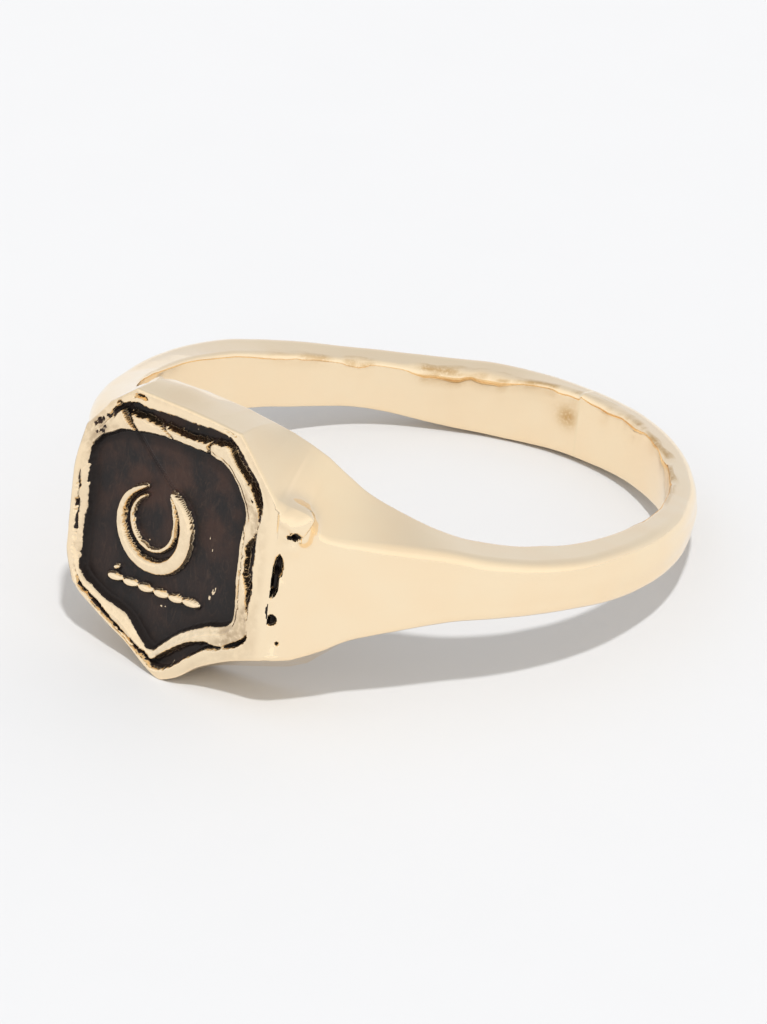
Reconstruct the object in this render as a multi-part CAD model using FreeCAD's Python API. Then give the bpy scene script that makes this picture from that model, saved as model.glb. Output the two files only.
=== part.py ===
import FreeCAD, Part
import math
import os

os.makedirs("parts", exist_ok=True)

# Signet ring with an engraved seal on a seven-sided head.
# Frame: the origin is the centre of the finger bore, +Z runs along the finger,
# the seal faces -Y, and X runs across the seal. Lengths are in millimetres.

# Finger bore
bore_radius = 8.675  # 17.35 mm across, US size 7
overcut = 0.3  # how far a blank reaches into the bore before the bore is cut

# Shank, measured at the back of the finger
back_wall = 1.0
back_height = 2.15
back_outer_height = 1.6  # height of the outer face, between its two soft edges
wall_power = 3.0  # how late the wall thickens towards the head
height_power = 6.0  # how late the shank grows taller towards the head
side_lift = 0.3  # the sides of the shank run this much above its middle plane
shank_stations = 13

# Head, seen from the front as a shield with seven corners
head_depth = 1.925  # metal between the bore and the face
head_half_width = 4.2
crown_half_width = 2.23  # half of the level top edge
crown_height = 4.75
corner_height = 2.85  # upper side corners
lower_corner_depth = 2.55
tip_depth = 4.5
shoulder_flare = 0.45  # the shoulders stand out past the face by this much
shoulder_set_back = 0.65  # and this far behind it
shoulder_top_edge = 1.9
shoulder_low_edge = 2.4
shoulder_bore_top = 3.95  # the bore's mouth at the joint with the shank
shoulder_bore_low = 3.55
crown_bore_height = 4.4  # the bore's mouth at the middle of the head
tip_bore_depth = 4.2

# Solder films
solder_film = 0.06
sizing_seam_width = 0.1

# Seal
plate_thickness = 0.6
relief_depth = 0.45  # from the face down to the floor of the seal
inner_rim_drop = 0.06  # the inner rim stands this much lower than the outer one
margin_left = 0.4  # face width between the seal's field and the head's edge
margin_right = 1.45
margin_crown = 1.35
margin_crown_left = 0.2  # how far the ends of the field's top edge are drawn in
margin_crown_right = 0.72
margin_corner = 0.68
margin_low_left = 0.45
margin_low_right = 0.93
margin_tip = 0.95
field_lean = 0.45  # the field's tip sits left of the head's tip
field_edge_dip = 0.22  # how far its lower edges bow inwards
inner_rim_share = 0.42  # of the margin, counted from the field outwards
groove_share = 0.14
field_film = 0.04
groove_film = 0.16

# Moon, inner moon line and beads
moon_radius = 1.55
moon_bite_radius = 1.12
moon_bite_rise = 0.5
moon_shift = 0.25  # left of the middle of the field
moon_relief = 0.3
line_outer_radius = 1.04
line_bite_radius = 0.98
line_bite_rise = 0.15
line_relief = 0.22
bead_count = 6
bead_pitch = 0.66
bead_radius = 0.14
bead_straight = 0.3
bead_tilt = 3.0  # degrees, rising to the right
bead_floor_gap = 0.5  # from the field's lower left corner up to the row
moon_bead_gap = 0.45

# Casting bead and pits on the right shoulder
bead_radius_on_shoulder = 0.42
bead_height = 1.9
bead_proud = 0.06  # its centre stands this far out of the facet
pit_depth = 0.12
pit_fill = 0.08
pit_radius = 0.11
pit_heights = (0.5, 0.2, -0.1, -1.3)

# Derived places
head_reach = bore_radius + head_depth
floor_reach = head_reach - relief_depth
block_reach = floor_reach - plate_thickness
shoulder_x = head_half_width + shoulder_flare
shoulder_y = head_reach - shoulder_set_back
joint_angle = math.degrees(math.atan2(shoulder_x, shoulder_y))
shoulder_radius = math.hypot(shoulder_x, shoulder_y)
sweep = 180.0 - joint_angle
blank_radius = bore_radius - overcut
field_low_z = -lower_corner_depth + margin_low_left
field_middle = (margin_left - margin_right) / 2
bead_row_z = field_low_z + bead_floor_gap
moon_x = field_middle - moon_shift
moon_z = bead_row_z + bead_radius + moon_bead_gap + moon_radius
tall = 4 * head_reach


def vector(x, y, z):
    return FreeCAD.Vector(x, y, z)


def around(radius, angle, z):
    """A point at an angle measured from the back of the ring towards +X."""
    turn = math.radians(angle)
    return vector(radius * math.sin(turn), radius * math.cos(turn), z)


def closed_wire(points):
    return Part.makePolygon(points + [points[0]])


def prism(wire, start_reach, end_reach):
    """Extrude a wire drawn on y = 0 so that it lies between two reaches in -Y."""
    face = Part.Face(wire)
    face.translate(vector(0, -start_reach, 0))
    return face.extrude(vector(0, start_reach - end_reach, 0))


def slab(start_reach, end_reach):
    corner = vector(-tall / 2, -end_reach, -tall / 2)
    return Part.makeBox(tall, end_reach - start_reach, tall, corner)


def bore():
    return Part.makeCylinder(bore_radius, tall, vector(0, 0, -tall / 2))


def mirrored(shape):
    return shape.mirror(vector(0, 0, 0), vector(1, 0, 0))


def extended(inner, outer):
    """Carry a straight edge from the bore's wall inwards by the overcut."""
    slope = (outer[1] - inner[1]) / (outer[0] - inner[0])
    return (inner[0] - overcut, inner[1] - slope * overcut)


# Shank


def shoulder_corners():
    """The shank's outline where it meets the head, as (radius, z) pairs."""
    top_in = (bore_radius, shoulder_bore_top)
    top_out = (shoulder_radius, shoulder_top_edge)
    low_out = (shoulder_radius, -shoulder_low_edge)
    low_in = (bore_radius, -shoulder_bore_low)
    return top_in, top_out, low_out, low_in


def shank_corners(share):
    """The same outline at a share of the way from the back to the head."""
    back_outer = bore_radius + back_wall
    back = (
        (bore_radius, back_height / 2),
        (back_outer, back_outer_height / 2),
        (back_outer, -back_outer_height / 2),
        (bore_radius, -back_height / 2),
    )
    lift = side_lift * math.sin(math.pi * share)
    corners = []
    for start, end in zip(back, shoulder_corners()):
        radius = start[0] + (end[0] - start[0]) * share**wall_power
        z = start[1] + (end[1] - start[1]) * share**height_power
        corners.append((radius, z + lift))
    return corners


def shank_section(share):
    """A closed wire across the shank, reaching into the bore's blank."""
    top_in, top_out, low_out, low_in = shank_corners(share)
    outline = (extended(top_in, top_out), top_out, low_out, extended(low_in, low_out))
    angle = sweep * share
    return closed_wire([around(radius, angle, z) for radius, z in outline])


def film_offset():
    """The shift across the solder film between shank and head, on the right."""
    turn = math.radians(sweep)
    return vector(-math.cos(turn) * solder_film, math.sin(turn) * solder_film, 0)


def shank_arm():
    """The right arm, from the sizing seam at the back to the head's solder."""
    shares = [index / (shank_stations - 1) for index in range(shank_stations)]
    sections = [shank_section(share) for share in shares]
    sections[-1].translate(film_offset())
    arm = Part.makeLoft(sections, True, False)
    seam_space = Part.makeBox(sizing_seam_width, tall, tall)
    seam_space.translate(vector(-sizing_seam_width / 2, 0, -tall / 2))
    return arm.cut(bore()).cut(seam_space)


def sizing_seam():
    """The line of solder that closes the shank at the back."""
    face = Part.Face(shank_section(0))
    face.translate(vector(-sizing_seam_width / 2, 0, 0))
    return face.extrude(vector(sizing_seam_width, 0, 0)).cut(bore())


def head_solder():
    """The film of solder between the head and the right arm."""
    return Part.Face(shank_section(1)).extrude(film_offset()).cut(bore())


# Head


def face_corners():
    """The head's seven corners on its front, clockwise from the upper left."""
    return (
        (-head_half_width, corner_height),
        (-crown_half_width, crown_height),
        (crown_half_width, crown_height),
        (head_half_width, corner_height),
        (head_half_width, -lower_corner_depth),
        (0.0, -tip_depth),
        (-head_half_width, -lower_corner_depth),
    )


def field_corners():
    """The corners of the sunk field, which sits left of the head's middle."""
    left = -head_half_width + margin_left
    right = head_half_width - margin_right
    crown = crown_height - margin_crown
    corner = corner_height - margin_corner
    return (
        (left, corner),
        (-crown_half_width + margin_crown_left, crown),
        (crown_half_width - margin_crown_right, crown),
        (right, corner),
        (right, -lower_corner_depth + margin_low_right),
        (-field_lean, -tip_depth + margin_tip),
        (left, field_low_z),
    )


def bowed_edge(start, end, dip):
    """An arc between two corners that bows upwards, into the shield."""
    middle = (start + end) / 2 + vector(0, 0, dip)
    return Part.Arc(start, middle, end).toShape()


def shield(share):
    """An outline between the field (share 0) and the head's edge (share 1)."""
    points = []
    for inner, outer in zip(field_corners(), face_corners()):
        x = inner[0] + (outer[0] - inner[0]) * share
        z = inner[1] + (outer[1] - inner[1]) * share
        points.append(vector(x, 0, z))
    upper_left, crown_left, crown_right, upper_right, low_right, tip, low_left = points
    dip = field_edge_dip * (1 - share)
    edges = [
        Part.makeLine(low_left, upper_left),
        Part.makeLine(upper_left, crown_left),
        Part.makeLine(crown_left, crown_right),
        Part.makeLine(crown_right, upper_right),
        Part.makeLine(upper_right, low_right),
        bowed_edge(low_right, tip, dip),
        bowed_edge(tip, low_left, dip),
    ]
    return Part.Wire(edges)


def head_form():
    """The whole head as a faceted block, before the bore is cut."""
    front = [vector(x, -head_reach, z) for x, z in face_corners()]
    upper_left, crown_left, crown_right, upper_right, low_right, tip, low_left = front
    crown_y = -math.sqrt(blank_radius**2 - crown_half_width**2)
    crown_back = vector(crown_half_width, crown_y, crown_bore_height)
    tip_back = vector(0, -blank_radius, -tip_bore_depth)
    section = shank_section(1).OrderedVertexes
    bore_top, edge_top, edge_low, bore_low = [vertex.Point for vertex in section]

    def flip(point):
        return vector(-point.x, point.y, point.z)

    side = [
        (crown_right, upper_right, edge_top),
        (crown_right, edge_top, bore_top),
        (crown_right, bore_top, crown_back),
        (upper_right, low_right, edge_low, edge_top),
        (low_right, tip, tip_back),
        (low_right, tip_back, bore_low),
        (low_right, bore_low, edge_low),
        (edge_top, edge_low, bore_low, bore_top),
        (crown_back, bore_top, bore_low),
        (crown_back, bore_low, tip_back),
    ]
    outlines = list(side)
    outlines += [tuple(flip(point) for point in outline) for outline in side]
    outlines.append(tuple(front))
    outlines.append((crown_left, crown_right, crown_back, flip(crown_back)))
    outlines.append((flip(crown_back), crown_back, tip_back))
    faces = [Part.Face(closed_wire(list(outline))) for outline in outlines]
    solid = Part.makeSolid(Part.makeShell(faces))
    if solid.Volume < 0:
        solid.reverse()
    return solid


def shoulder_place(z):
    """The middle of the right shoulder facet at a height, and its normal."""
    run = vector(shoulder_flare, shoulder_set_back, 0)
    outward = vector(run.y, -run.x, 0).normalize()
    return vector(head_half_width, -head_reach, z) + run * 0.5, outward


def pits(deep, shallow):
    """Round pegs in the right shoulder facet, between two depths below it."""
    pegs = []
    for z in pit_heights:
        place, outward = shoulder_place(z)
        base = place - outward * deep
        pegs.append(Part.makeCylinder(pit_radius, deep - shallow, base, outward))
    return Part.makeCompound(pegs)


def head_block():
    return head_form().common(slab(0, block_reach - solder_film)).cut(bore())


def shoulder_bead(neighbours):
    """A bead of metal left by casting, on the upper edge of the right shoulder."""
    place, outward = shoulder_place(bead_height)
    centre = place + outward * bead_proud
    return Part.makeSphere(bead_radius_on_shoulder, centre).cut(neighbours)


# Seal


def seal_plate():
    return head_form().common(slab(block_reach, floor_reach))


def seal_solder():
    return head_form().common(slab(block_reach - solder_film, block_reach))


def outer_rim():
    rim = head_form().common(slab(floor_reach, head_reach))
    opening = prism(shield(inner_rim_share + groove_share), floor_reach, head_reach)
    return rim.cut(opening)


def frame_between(inner_share, outer_share, height):
    """A shield-shaped frame that stands on the floor of the seal."""
    top = floor_reach + height
    outer = prism(shield(outer_share), floor_reach, top)
    return outer.cut(prism(shield(inner_share), floor_reach, top))


def disc(radius, x, z, height):
    base = vector(x, -floor_reach, z)
    return Part.makeCylinder(radius, height, base, vector(0, -1, 0))


def moon():
    whole = disc(moon_radius, moon_x, moon_z, moon_relief)
    bite = disc(moon_bite_radius, moon_x, moon_z + moon_bite_rise, moon_relief)
    return whole.cut(bite)


def moon_line():
    """A thin second crescent inside the first, leaving a groove between them."""
    z = moon_z + moon_bite_rise
    whole = disc(line_outer_radius, moon_x, z, line_relief)
    return whole.cut(disc(line_bite_radius, moon_x, z + line_bite_rise, line_relief))


def bead_row():
    """Beads with rounded ends that lie on the floor in a row."""
    beads = []
    floor = slab(floor_reach, head_reach)
    first = -bead_pitch * (bead_count - 1) / 2
    for index in range(bead_count):
        x = first + index * bead_pitch
        left = vector(x - bead_straight / 2, -floor_reach, 0)
        right = vector(x + bead_straight / 2, -floor_reach, 0)
        barrel = Part.makeCylinder(bead_radius, bead_straight, left, vector(1, 0, 0))
        ends = [Part.makeSphere(bead_radius, left), Part.makeSphere(bead_radius, right)]
        beads.append(barrel.multiFuse(ends).common(floor))
    row = Part.makeCompound(beads)
    row.rotate(vector(0, 0, 0), vector(0, 1, 0), -bead_tilt)
    row.translate(vector(moon_x, 0, bead_row_z))
    return row


def field_patina(reliefs):
    """The thin dark oxide on the floor of the field, around what stands there."""
    film = prism(shield(0), floor_reach, floor_reach + field_film)
    for relief in reliefs:
        film = film.cut(relief)
    return film


right_arm = shank_arm()
right_solder = head_solder()
pit_space = pits(pit_depth, -overcut)
block = head_block().cut(pit_space)
film = seal_solder().cut(pit_space)
plate = seal_plate().cut(pit_space)
rim = outer_rim().cut(pit_space)
reliefs = [moon(), moon_line(), bead_row()]
groove_end_share = inner_rim_share + groove_share

nodes = {
    "shank_arm_left": mirrored(right_arm),
    "shank_arm_right": right_arm,
    "sizing_seam": sizing_seam(),
    "head_block": block,
    "head_solder_left": mirrored(right_solder),
    "head_solder_right": right_solder,
    "seal_solder": film,
    "seal_plate": plate,
    "outer_rim": rim,
    "inner_rim": frame_between(0, inner_rim_share, relief_depth - inner_rim_drop),
    "moon": reliefs[0],
    "moon_line": reliefs[1],
    "bead_row": reliefs[2],
    "field_patina": field_patina(reliefs),
    "groove_patina": frame_between(inner_rim_share, groove_end_share, groove_film),
    "casting_bead": shoulder_bead([block, film, plate, rim, right_arm, right_solder]),
    "pit_patina": pits(pit_depth, pit_depth - pit_fill),
}

for name, shape in nodes.items():
    shape.exportStep("parts/" + name + ".step")
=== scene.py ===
import math

import bpy
import numpy as np
from mathutils import Matrix, Vector


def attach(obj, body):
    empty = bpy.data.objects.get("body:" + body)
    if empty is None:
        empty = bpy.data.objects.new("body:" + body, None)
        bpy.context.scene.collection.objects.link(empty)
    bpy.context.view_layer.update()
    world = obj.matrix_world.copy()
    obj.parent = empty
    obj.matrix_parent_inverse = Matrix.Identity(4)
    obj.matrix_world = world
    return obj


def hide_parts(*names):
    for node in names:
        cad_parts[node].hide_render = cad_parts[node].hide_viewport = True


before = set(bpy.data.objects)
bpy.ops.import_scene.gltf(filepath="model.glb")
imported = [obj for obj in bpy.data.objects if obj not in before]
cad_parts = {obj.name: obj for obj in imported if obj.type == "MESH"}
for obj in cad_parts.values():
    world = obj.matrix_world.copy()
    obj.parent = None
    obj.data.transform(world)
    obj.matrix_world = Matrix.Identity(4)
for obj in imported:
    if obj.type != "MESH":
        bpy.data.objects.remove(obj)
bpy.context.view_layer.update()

MM = 0.001
SEED = 7

# The ring in millimetres, in the frame of the model: the finger runs along Z,
# the seal faces -Y, and an angle is counted from the head (0) to the back (180).
BORE = 8.675  # radius
REACH = 10.6  # from the bore's axis to the seal's face
CORNER_X = 4.13  # the seal's upright edges
CORNER_ANGLE = math.degrees(math.atan2(CORNER_X, REACH))
JOINT_ANGLE = 25.0
FLOOR_DEPTH = 0.42  # the sunk field, behind the face
FIELD_LIP = 0.13  # width of the wall between the rim and the field
INNER_RIM_DROP = 0.05  # the inner rim lies this much behind the outer one
WORN_LIP = 0.09  # how far the rim's edge at the field is worn down
GROOVE_SOOT = 0.25
# How far a piece goes into the metal behind its surface: at the seal, and elsewhere
BACKING = 0.22
SHALLOW = 0.035

# Sections across the ring: angle from the head, bore's upper edge, outer face's
# upper and lower edges, bore's lower edge, and wall. The two arms were filed by
# hand, so they differ a little.
RIGHT = (
    (25, 3.85, 2.06, -2.35, -3.30, 2.31),
    (30, 3.32, 1.80, -1.96, -2.65, 2.04),
    (36, 2.72, 1.72, -1.42, -1.95, 1.84),
    (50, 1.80, 1.62, -0.82, -1.10, 1.62),
    (60, 1.42, 1.34, -0.66, -0.88, 1.60),
    (75, 1.10, 1.06, -0.64, -0.78, 1.50),
    (90, 1.00, 1.00, -0.78, -0.84, 1.25),
    (110, 0.92, 0.90, -0.74, -0.88, 1.02),
    (130, 0.90, 0.62, -0.76, -0.95, 0.92),
    (160, 1.06, 0.88, -1.06, -1.20, 0.98),
    (180, 0.98, 0.90, -1.26, -1.32, 1.02),
)
LEFT = (
    (25, 4.10, 2.00, -2.40, -3.30, 2.05),
    (30, 3.66, 1.74, -1.90, -2.65, 1.72),
    (36, 3.05, 1.56, -1.35, -1.95, 1.56),
    (50, 2.25, 1.40, -0.82, -1.15, 1.46),
    (70, 1.70, 1.14, -0.54, -0.80, 1.46),
    (85, 1.44, 1.24, -0.62, -0.82, 1.42),
    (100, 1.10, 1.24, -0.85, -0.92, 1.29),
    (115, 0.80, 1.02, -1.04, -1.08, 1.14),
    (130, 0.55, 0.80, -1.15, -1.14, 1.02),
    (145, 0.48, 0.76, -1.30, -1.45, 1.02),
    (160, 0.66, 0.88, -1.40, -1.50, 1.06),
    (180, 0.98, 0.90, -1.26, -1.32, 1.02),
)
# The bore's upper and lower edges inside the head: angle and z
BORE_MOUTH_TOP = ((0, 4.68), (6, 4.66), (12.6, 4.50), (17, 4.36), (CORNER_ANGLE, 4.12))
BORE_MOUTH_LOW = ((0, -4.20), (10, -3.98), (CORNER_ANGLE, -3.55))

# The seal's outline, as (x, z)
OUTLINE_TOP = ((-4.13, 2.90), (-3.30, 3.95), (-2.25, 4.75), (0, 4.78), (2.30, 4.72), (4.13, 2.85))
OUTLINE_LOW = (
    (-4.13, -2.65), (-3.60, -3.00), (-2.55, -3.50), (-1.70, -3.85), (-0.85, -4.35),
    (-0.25, -4.58), (0.10, -4.50), (0.65, -4.20), (1.40, -3.60), (2.40, -3.05),
    (3.25, -2.70), (4.13, -2.40),
)
# The edge of the sunk field
FIELD = (
    (-2.70, 3.15), (-3.30, 2.85), (-3.85, 2.45), (-4.15, 1.80), (-4.05, 0.60),
    (-4.10, -0.60), (-4.15, -1.60), (-3.95, -2.25), (-3.10, -2.70), (-2.20, -2.90),
    (-1.60, -3.20), (-1.10, -3.65), (-0.70, -3.80), (-0.35, -3.50), (0.45, -2.80),
    (1.40, -2.25), (2.30, -1.90), (2.60, -1.40), (2.55, -0.20), (2.60, 1.30),
    (2.70, 2.05), (2.35, 2.75), (1.45, 3.45), (-0.50, 3.50), (-1.50, 3.40),
    (-2.25, 3.25),
)
# The groove between the two rims: x, z, half width and depth
GROOVE = (
    (-2.75, 3.90, 0.10, 0.36), (-2.10, 4.05, 0.17, 0.42), (-1.30, 4.05, 0.17, 0.42),
    (-0.50, 4.10, 0.22, 0.44), (0.40, 4.15, 0.22, 0.44), (1.20, 4.25, 0.18, 0.42),
    (1.80, 4.25, 0.15, 0.40), (2.30, 3.85, 0.20, 0.42), (2.80, 3.40, 0.20, 0.42),
    (3.20, 2.95, 0.17, 0.42), (3.35, 2.40, 0.09, 0.36), (3.30, 1.75, 0.00, 0.12),
    (3.15, 1.00, 0.17, 0.42), (3.10, 0.35, 0.19, 0.42), (3.20, -0.30, 0.14, 0.40),
    (3.20, -0.90, 0.05, 0.30), (3.30, -1.55, 0.00, 0.12), (3.15, -2.10, 0.05, 0.32),
    (2.20, -2.65, 0.02, 0.20), (1.60, -2.80, 0.07, 0.34), (1.00, -3.15, 0.14, 0.40),
    (0.45, -3.55, 0.17, 0.40), (-0.15, -4.00, 0.18, 0.40), (-0.60, -4.15, 0.08, 0.36),
    (-1.10, -3.95, 0.05, 0.33), (-1.90, -3.60, 0.05, 0.32), (-3.30, -2.90, 0.05, 0.32),
    (-4.00, -2.50, 0.05, 0.30), (-4.30, -1.80, 0.03, 0.05), (-4.35, -0.75, 0.03, 0.28),
    (-4.38, 0.00, 0.05, 0.34), (-4.38, 0.50, 0.03, 0.28), (-4.35, 1.60, 0.03, 0.04),
    (-4.00, 2.50, 0.03, 0.05), (-3.35, 3.35, 0.04, 0.10), (-3.00, 3.75, 0.06, 0.26),
)
# Cuts and cracks: x, z, half width and depth along each
CUTS = (
    ((-2.90, 4.00, 0.08, 0.38), (-2.55, 3.65, 0.12, 0.46), (-2.25, 3.25, 0.07, 0.46)),
    ((-1.35, 4.00, 0.08, 0.40), (-1.05, 3.75, 0.06, 0.40), (-0.65, 3.45, 0.03, 0.36)),
    ((1.00, 4.00, 0.04, 0.36), (0.92, 3.75, 0.05, 0.36), (0.88, 3.50, 0.04, 0.40)),
    ((-2.30, 4.45, 0.02, 0.30), (-2.05, 4.52, 0.04, 0.34), (-1.80, 4.50, 0.02, 0.30)),
    ((1.60, 4.60, 0.02, 0.16), (2.05, 4.55, 0.02, 0.18)),
    ((2.70, 1.50, 0.02, 0.30), (2.70, 0.20, 0.03, 0.30), (2.75, -1.10, 0.02, 0.28)),
)
# Dark specks in the upper left of the rims, and three more: x, z, radius and depth
RIM_PITS = (
    (-3.84, 2.96, 0.07, 0.10), (-3.70, 3.12, 0.10, 0.12), (-3.55, 3.25, 0.06, 0.10),
    (-3.80, 2.72, 0.05, 0.10), (-3.46, 2.98, 0.06, 0.10), (-3.36, 3.40, 0.06, 0.10),
    (-3.14, 3.54, 0.08, 0.14), (-2.98, 3.72, 0.06, 0.14), (-3.60, 2.80, 0.05, 0.10),
    (0.86, 3.42, 0.10, 0.40), (1.22, 4.10, 0.06, 0.16), (2.98, 2.62, 0.05, 0.20),
)
# Scratches across the field: x, z, half width and depth below its floor
SCRATCHES = (
    ((-2.42, 3.14, 0.030, 0.05), (-1.60, 2.38, 0.022, 0.05), (-0.60, 1.62, 0.018, 0.04)),
    ((-2.26, 3.12, 0.014, 0.03), (-1.48, 2.42, 0.014, 0.03), (-0.56, 1.74, 0.012, 0.03)),
)

MOON_CENTRE = (-1.15, 0.30)
# Angle round the moon, counted from +X, then its middle radius and half width
MOON = (
    (-180, 1.44, 0.150), (-135, 1.43, 0.210), (-90, 1.37, 0.245), (-60, 1.35, 0.270),
    (-30, 1.34, 0.290), (0, 1.36, 0.290), (25, 1.43, 0.265), (45, 1.48, 0.205),
    (62, 1.50, 0.110), (71, 1.52, 0.0), (106, 1.36, 0.0), (113, 1.33, 0.080),
    (130, 1.33, 0.125), (155, 1.40, 0.145), (180, 1.44, 0.150),
)
MOON_HEIGHT = 0.32
# The thin crescent inside the moon, given in the same way
LINE_CENTRE = (-1.20, 0.45)
LINE = (
    (-180, 0.94, 0.085), (-90, 0.97, 0.085), (-45, 0.92, 0.095), (0, 0.88, 0.090),
    (35, 0.98, 0.080), (58, 1.20, 0.060), (64, 1.32, 0.0), (112, 0.90, 0.0),
    (120, 0.88, 0.060), (150, 0.90, 0.080), (180, 0.94, 0.085),
)
LINE_HEIGHT = 0.22
# Beads: x, z, half length and half height
BEADS = (
    (-2.65, -1.93, 0.36, 0.165), (-1.98, -1.905, 0.36, 0.165), (-1.32, -1.875, 0.36, 0.17),
    (-0.65, -1.84, 0.36, 0.17), (-0.01, -1.79, 0.36, 0.17), (0.63, -1.72, 0.42, 0.165),
    (-2.60, -1.57, 0.12, 0.09),
)
BEAD_HEIGHT = 0.24
BEAD_SLOPE = 0.06  # the beads lean with their row
# Bright flaws in the field's oxide: x, z, half width and half height
BLEMISHES = (
    (1.42, -1.10, 0.05, 0.13), (1.30, -1.32, 0.04, 0.10), (1.52, -0.96, 0.03, 0.08),
    (-0.67, -2.30, 0.05, 0.04), (-0.50, -2.26, 0.03, 0.03), (-1.44, -0.28, 0.05, 0.04),
    (1.10, 0.62, 0.02, 0.12), (1.24, 0.30, 0.02, 0.10),
)

# Right shoulder: pits as angle, z, half angle, half height, depth
SHOULDER_PITS = (
    (22.15, 0.78, 0.70, 0.36, 0.20), (21.75, 0.25, 0.55, 0.42, 0.20),
    (21.45, -0.12, 0.30, 0.16, 0.16), (21.0, -0.72, 0.18, 0.26, 0.10),
    (21.85, -1.05, 0.62, 0.17, 0.20), (23.1, -1.82, 0.28, 0.07, 0.12),
    (24.1, 2.02, 0.60, 0.20, 0.18), (23.5, 1.92, 0.60, 0.09, 0.14),
)
# Lump on the shoulder: angle, z, distance from the bore's axis, radius and height
LUMPS = (
    (21.9, 2.60, 11.15, 0.36, 0.26), (23.0, 2.56, 11.05, 0.42, 0.50),
    (24.2, 2.42, 10.95, 0.44, 0.72), (25.1, 2.22, 10.90, 0.36, 0.60),
    (22.8, 2.05, 11.15, 0.40, 0.26), (25.3, 1.86, 10.95, 0.26, 0.34),
    (23.8, 1.50, 11.05, 0.30, 0.16), (22.5, 0.10, 11.20, 0.28, 0.05),
)
LEFT_BOW = 0.52  # how far the seal's left edge stands out at its middle
# Stain inside the bore beside the seam: angle, z, half angle and half height
SEAM_STAIN = (182.8, 0.02, 2.6, 0.36)
# The streaks at this row are painted reflection: ochre where the fillet would show the gold's own
# inner wall
REFLECTION_ROW = 21.0  # the row of points at the bore's upper edge, where streaks gather
# The lump's own piece: angle, z, half angle and half height
LUMP_PIECE = (24.3, 2.35, 1.5, 0.5)
# The pits whose oxide is a piece of its own
FILLED_PITS = SHOULDER_PITS[:2] + SHOULDER_PITS[4:5]
TROUGH = (22.35, 0.85, 0.11)  # behind the rim's right ridge: angle, half angle, depth

rng = np.random.default_rng(SEED)
NOISE_TABLE = rng.random((3, 64, 64))


def smooth(low, high, value):
    """From 0 at low to 1 at high, eased at both ends."""
    share = np.clip((value - low) / (high - low), 0, 1)
    return share * share * (3 - 2 * share)


def noise(a, b, layer=0):
    """Smooth noise from 0 to 1 that repeats every 64 cells."""
    i, j = np.floor(a).astype(int), np.floor(b).astype(int)
    u, v = a - i, b - j
    u, v = u * u * (3 - 2 * u), v * v * (3 - 2 * v)
    table = NOISE_TABLE[layer]

    def at(p, q):
        return table[(i + p) % 64, (j + q) % 64]

    low = at(0, 0) * (1 - u) + at(1, 0) * u
    high = at(0, 1) * (1 - u) + at(1, 1) * u
    return low * (1 - v) + high * v


def rough_noise(a, b, layer=0):
    """Noise from 0 to 1 with two finer layers on top."""
    total = noise(a, b, layer) + 0.5 * noise(a * 2.1 + 9, b * 2.1, layer)
    return (total + 0.25 * noise(a * 4.3, b * 4.3 + 5, layer)) / 1.75


def through(points, closed=False, steps=6):
    """A smooth line through points; each may carry more values than x and z."""
    p = np.array(points, float)
    before = np.roll(p, 1, 0) if closed else np.vstack([2 * p[:1] - p[1:2], p[:-1]])
    after = np.roll(p, -1, 0) if closed else np.vstack([p[1:], 2 * p[-1:] - p[-2:-1]])
    third = np.roll(after, -1, 0)
    if not closed:
        third[-1] = after[-1]
        third[-2] = after[-2]
    out = []
    for t in np.arange(steps) / steps:
        out.append(
            0.5 * (2 * p + (after - before) * t
                   + (2 * before - 5 * p + 4 * after - third) * t**2
                   + (3 * p - before - 3 * after + third) * t**3)
        )
    line = np.stack(out, 1).reshape(-1, p.shape[1])
    if closed:
        return np.vstack([line, line[:1]])
    return np.vstack([line[: (len(p) - 1) * steps], p[-1:]])


def near(line, x, z):
    """The distance to a line, and the line's other values at its nearest point."""
    best = np.full(x.shape, 1e9)
    carried = [np.zeros(x.shape) for _ in range(line.shape[1] - 2)]
    for a, b in zip(line[:-1], line[1:]):
        run = b[:2] - a[:2]
        length = max(run @ run, 1e-12)
        t = np.clip(((x - a[0]) * run[0] + (z - a[1]) * run[1]) / length, 0, 1)
        gap = np.hypot(x - a[0] - t * run[0], z - a[1] - t * run[1])
        closer = gap < best
        best = np.where(closer, gap, best)
        for k in range(len(carried)):
            carried[k] = np.where(closer, a[2 + k] + t * (b[2 + k] - a[2 + k]), carried[k])
    return [best] + carried


def inside(line, x, z):
    """Whether points lie inside a closed line."""
    odd = np.zeros(x.shape, bool)
    for a, b in zip(line[:-1], line[1:]):
        crosses = (a[1] > z) != (b[1] > z)
        if a[1] == b[1]:
            continue
        at = a[0] + (z - a[1]) / (b[1] - a[1]) * (b[0] - a[0])
        odd ^= crosses & (x < at)
    return odd


def band(table, centre, x, z):
    """Where a point lies across a curved band: -1 to 1 inside it."""
    dx, dz = x - centre[0], z - centre[1]
    angle = np.degrees(np.arctan2(dz, dx))
    stops = np.array(table, float)
    middle = np.interp(angle, stops[:, 0], stops[:, 1])
    half = np.interp(angle, stops[:, 0], stops[:, 2])
    return np.abs(np.hypot(dx, dz) - middle) / np.maximum(half, 1e-3), half


def edge_noise(x, z):
    """Coarse and fine raggedness of the seal's edges."""
    ragged = rough_noise(x * 3.1 + 20, z * 3.1 + 20) - 0.5
    fine = rough_noise(x * 9 + 3, z * 9 + 40, 1) - 0.5
    return ragged, fine


def field_gap(x, z, ragged, fine):
    """The distance to the edge of the sunk field, below zero inside it."""
    line = through(FIELD, True, 4)
    gap = near(line, x, z)[0]
    return np.where(inside(line, x, z), -gap, gap) + 0.07 * ragged + 0.03 * fine


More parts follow.
